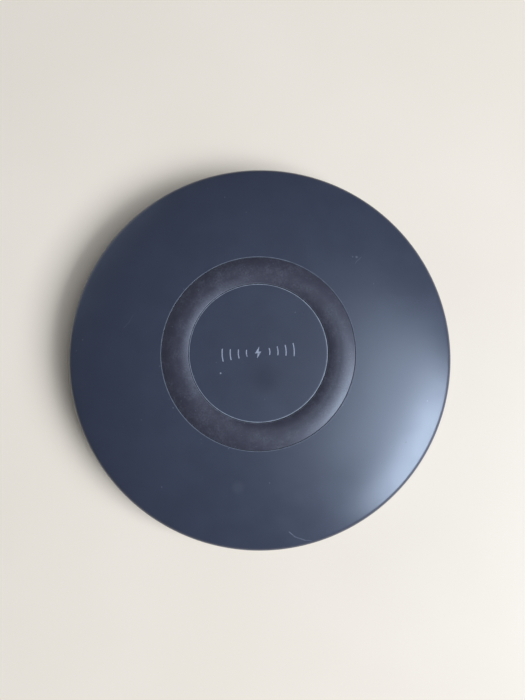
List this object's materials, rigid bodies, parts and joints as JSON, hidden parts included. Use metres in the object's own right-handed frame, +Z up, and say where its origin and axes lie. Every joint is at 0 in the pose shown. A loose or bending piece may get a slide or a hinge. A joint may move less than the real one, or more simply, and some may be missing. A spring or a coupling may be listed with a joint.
{
  "type": "wireless charging pad",
  "caption": "Round low wireless charging pad: domed matte top cover with a raised silicone ring, transmitter coil and board inside, micro USB socket at the rear.",
  "frame": {"origin": "centre of the foot ring's underside, on the surface the pad stands on", "axes": "+Z up to the charging face, +Y towards the rear and the socket, -Y towards the front and the status light, +X to the right"},
  "size_m": [0.098, 0.098, 0.014],
  "materials": {
    "cover_plastic": "satin",
    "grip_silicone": "matte",
    "base_plastic": "matte",
    "foot_rubber": "matte",
    "light_guide": "satin",
    "screw_steel": "satin",
    "coil_copper": "satin",
    "ferrite": "matte",
    "shield_aluminium": "satin",
    "adhesive": "matte",
    "thermistor_resin": "gloss",
    "board": "satin",
    "chip_resin": "matte",
    "capacitor_ceramic": "matte",
    "led_resin": "gloss",
    "socket_steel": "satin",
    "socket_plastic": "satin",
    "contact_gold": "polished"
  },
  "bodies": {
    "root": {"top_cover": "cover_plastic", "grip_ring": "grip_silicone", "base_cover": "base_plastic", "foot_ring": "foot_rubber", "light_guide": "light_guide", "case_screw_1": "screw_steel", "case_screw_2": "screw_steel", "case_screw_3": "screw_steel", "case_screw_4": "screw_steel", "transmitter_coil": "coil_copper", "ferrite_plate": "ferrite", "shield_plate": "shield_aluminium", "coil_adhesive": "adhesive", "thermistor": "thermistor_resin", "circuit_board": "board", "controller_ic": "chip_resin", "regulator_ic": "chip_resin", "power_inductor": "ferrite", "crystal": "socket_steel", "sense_resistor": "chip_resin", "status_led": "led_resin", "input_capacitor_1": "capacitor_ceramic", "input_capacitor_2": "capacitor_ceramic", "bridge_fet_1": "chip_resin", "bridge_fet_2": "chip_resin", "bridge_fet_3": "chip_resin", "bridge_fet_4": "chip_resin", "resonant_capacitor_1": "capacitor_ceramic", "resonant_capacitor_2": "capacitor_ceramic", "resonant_capacitor_3": "capacitor_ceramic", "resonant_capacitor_4": "capacitor_ceramic", "board_screw_1": "screw_steel", "board_screw_2": "screw_steel", "board_screw_3": "screw_steel", "usb_shell": "socket_steel", "usb_insulator": "socket_plastic", "usb_contact_1": "contact_gold", "usb_contact_2": "contact_gold", "usb_contact_3": "contact_gold", "usb_contact_4": "contact_gold", "usb_contact_5": "contact_gold"}
  },
  "joints": []
}
